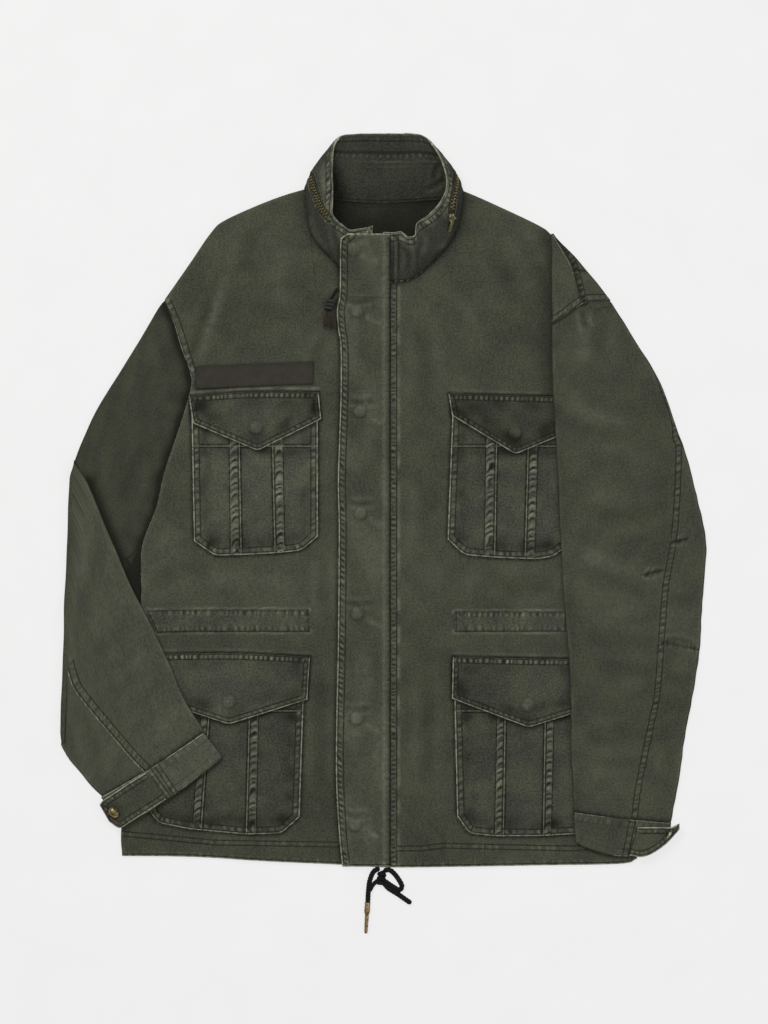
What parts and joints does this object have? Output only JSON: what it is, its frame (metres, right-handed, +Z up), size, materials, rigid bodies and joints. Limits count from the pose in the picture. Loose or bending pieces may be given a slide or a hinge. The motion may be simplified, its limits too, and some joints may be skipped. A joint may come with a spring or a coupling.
{
  "type": "field jacket",
  "caption": "Field jacket laid flat on a surface, with a stand collar that holds a zipped hood pocket, a covered snap placket, pleated flap pockets and tabbed cuffs.",
  "frame": {"origin": "middle of the jacket's outline without its cords, on the surface that it lies on", "axes": "+X to the right of the front as it lies, which is the wearer's left, +Y from the hem to the collar, +Z up off the surface"},
  "size_m": [0.7411, 0.9191, 0.0462],
  "materials": {
    "twill": "garment-dyed heavy cotton twill, washed and faded at its edges",
    "pocket_twill": "the same twill in two or more layers, faded less",
    "tape": "plain woven cotton tape",
    "brass": "aged brass, dull",
    "cord": "tightly braided matt cord"
  },
  "bodies": {
    "jacket": {"back": "twill", "front_right": "twill", "front_left": "twill", "left_shoulder": "twill", "right_sleeve": "twill", "left_sleeve": "twill", "right_cuff": "twill", "left_cuff": "twill", "right_cuff_tab": "twill", "left_cuff_tab": "twill", "right_cuff_snap": "brass", "left_cuff_snap": "brass", "collar": "twill", "placket": "twill", "placket_snap_1": "twill", "placket_snap_2": "twill", "placket_snap_3": "twill", "placket_snap_4": "twill", "placket_snap_5": "twill", "placket_snap_6": "twill", "right_chest_bag": "pocket_twill", "right_chest_flap": "pocket_twill", "right_chest_snap": "pocket_twill", "left_chest_bag": "pocket_twill", "left_chest_flap": "pocket_twill", "left_chest_snap": "pocket_twill", "right_lower_bag": "pocket_twill", "right_lower_flap": "pocket_twill", "right_lower_snap": "pocket_twill", "left_lower_bag": "pocket_twill", "left_lower_flap": "pocket_twill", "left_lower_snap": "pocket_twill", "name_tape": "tape", "right_waist_strip": "pocket_twill", "left_waist_strip": "pocket_twill", "right_collar_zip": "brass", "left_collar_zip": "brass", "collar_zip_slider": "brass", "hem_cord_tip_end": "cord", "hem_cord_tip": "brass", "hem_cord_knot": "cord", "hem_cord_loop": "cord", "hem_cord_bare_end": "cord", "front_zip_cord": "cord", "front_zip_knot": "cord", "front_zip_tassel": "tape"},
    "pull_tab": {"collar_zip_pull": "brass"}
  },
  "joints": [
    {"name": "pull_tab_swing", "type": "hinge", "parent": "jacket", "child": "pull_tab", "pos_m": [0.07942, 0.32221, 0.03708], "axis": [-0.7911, -0.1113, 0.6015], "range_deg": [0, 160]}
  ]
}
